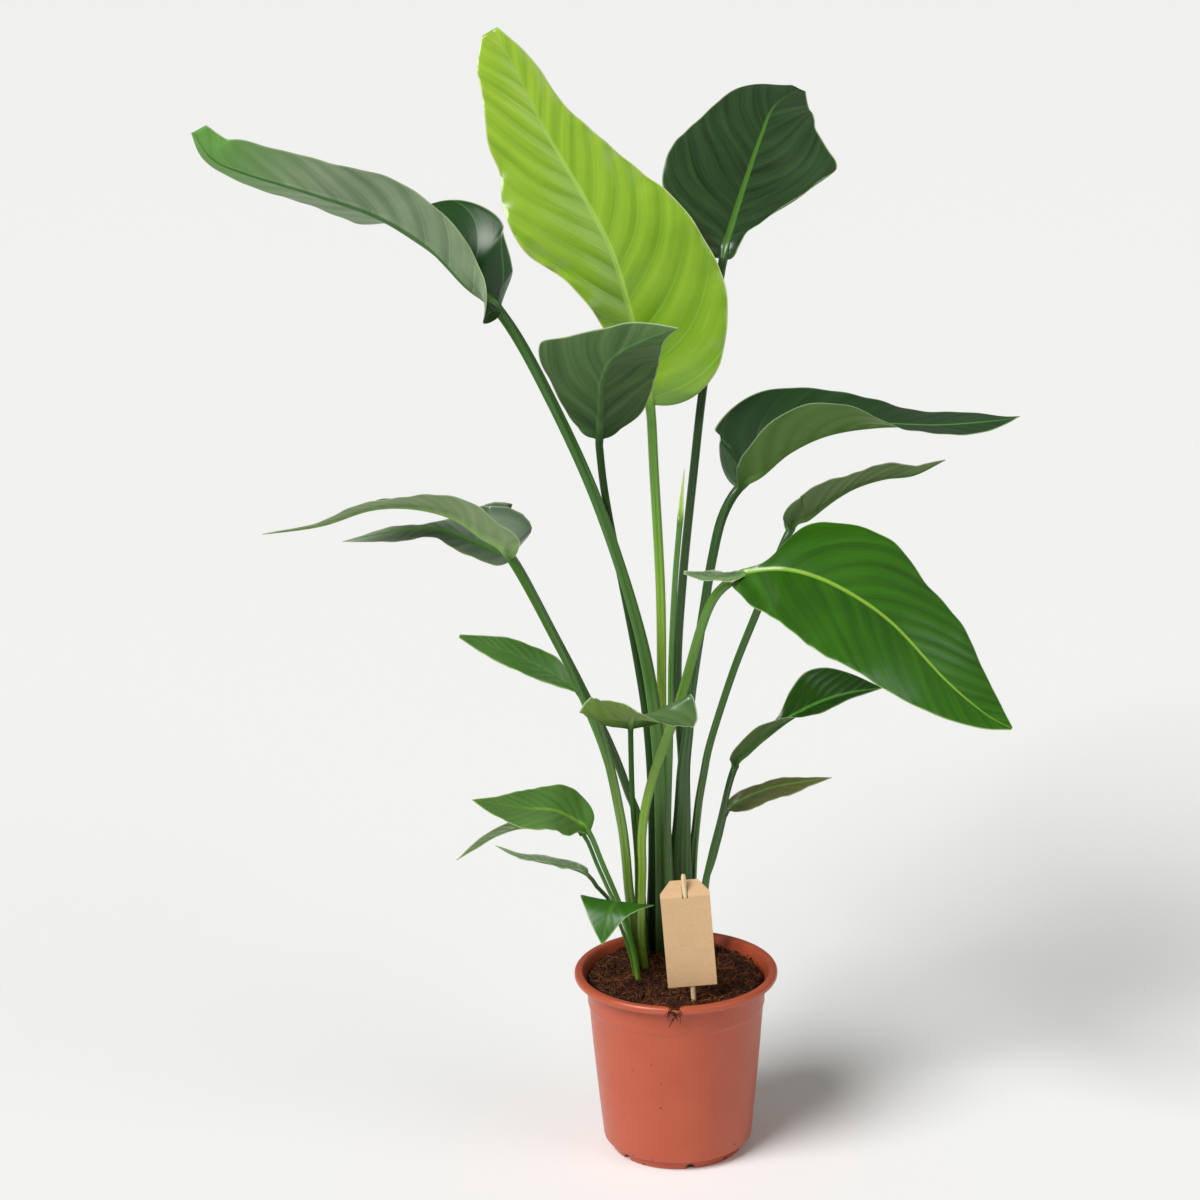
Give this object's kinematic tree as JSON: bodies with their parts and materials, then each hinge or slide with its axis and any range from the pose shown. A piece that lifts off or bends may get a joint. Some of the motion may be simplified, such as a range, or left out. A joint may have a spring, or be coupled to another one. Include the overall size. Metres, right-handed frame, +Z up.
{
  "type": "potted bird of paradise plant",
  "caption": "Potted bird of paradise: a clump of long-stalked paddle leaves in a round nursery pot of coir mix, with a blank card on a wooden stick.",
  "frame": {"origin": "centre of the pot's underside, on the floor", "axes": "+Z up along the pot's axis, -Y toward the viewer of the picture, +X to the viewer's right"},
  "size_m": [0.8251, 0.4789, 1.143],
  "materials": {
    "pot": "satin",
    "soil": "matte",
    "leaf_lime": "satin",
    "leaf_green": "gloss",
    "leaf_dark": "gloss",
    "leaf_olive": "satin",
    "stick": "matte",
    "card": "matte"
  },
  "bodies": {
    "root": {"pot": "pot", "soil": "soil", "leaf_top_left": "leaf_dark", "leaf_top_centre": "leaf_lime", "leaf_top_right": "leaf_dark", "leaf_middle": "leaf_olive", "leaf_right_upper": "leaf_dark", "leaf_right_narrow": "leaf_olive", "leaf_right_front": "leaf_green", "leaf_right_lower": "leaf_dark", "leaf_right_lowest": "leaf_olive", "leaf_left_long": "leaf_olive", "leaf_left_dark": "leaf_dark", "leaf_left_narrow": "leaf_green", "leaf_centre_crinkled": "leaf_olive", "leaf_left_low": "leaf_green", "leaf_left_thin": "leaf_green", "leaf_left_curled": "leaf_olive", "leaf_front_nodding": "leaf_green", "spear": "leaf_lime", "stick": "stick", "card": "card"}
  },
  "joints": []
}
